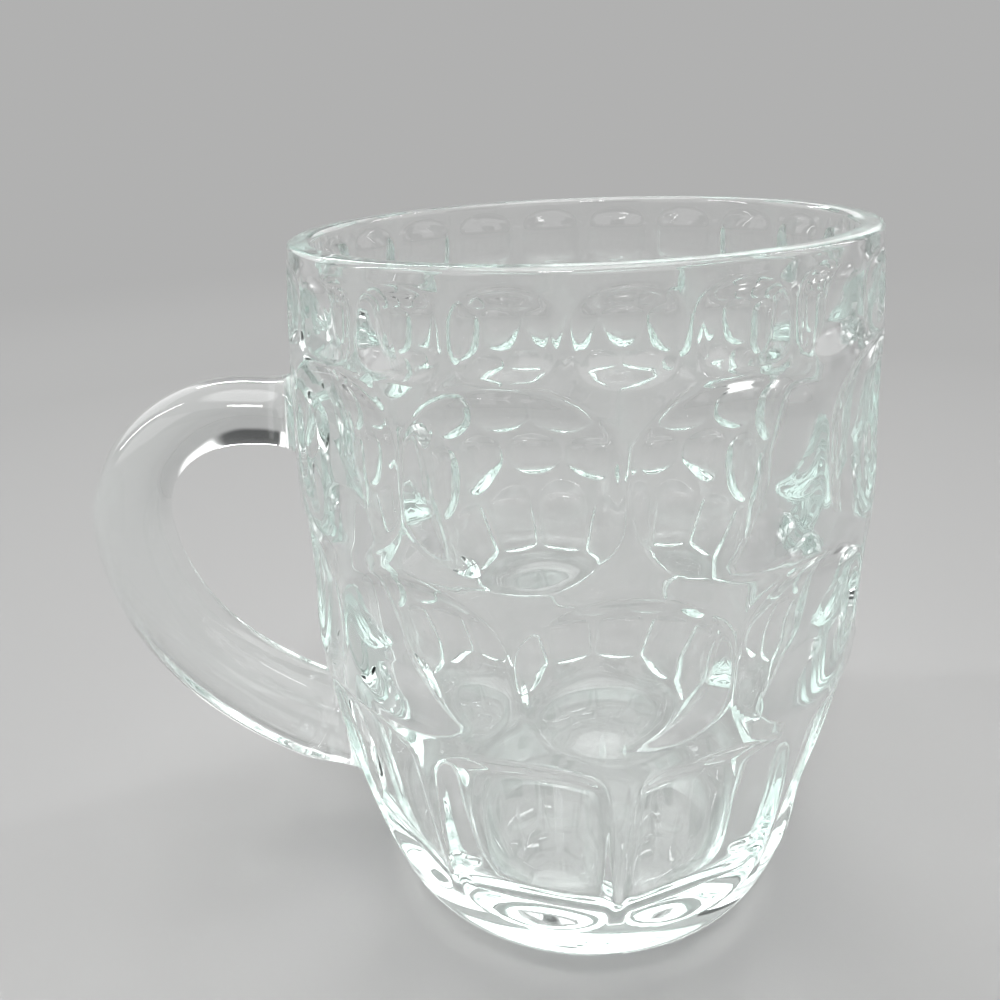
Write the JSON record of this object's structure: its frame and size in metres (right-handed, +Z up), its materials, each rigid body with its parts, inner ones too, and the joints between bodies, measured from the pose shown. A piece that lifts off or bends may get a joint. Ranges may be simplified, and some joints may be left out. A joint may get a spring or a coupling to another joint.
{
  "type": "dimpled glass beer mug",
  "caption": "Pressed clear glass beer mug with rows of oval hollows and tall panels round a barrel-shaped bowl, and a stuck-on glass loop handle.",
  "frame": {"origin": "middle of the base, on the plane that the mug rests on", "axes": "+Z up along the bowl's axis, -X towards the handle, +Y to the left of someone who looks from the handle"},
  "size_m": [0.1373, 0.0988, 0.125],
  "materials": {
    "bowl_glass": "polished, faintly green clear glass",
    "handle_glass": "polished, faintly green clear glass"
  },
  "bodies": {
    "root": {"bowl": "bowl_glass", "handle": "handle_glass"}
  },
  "joints": []
}
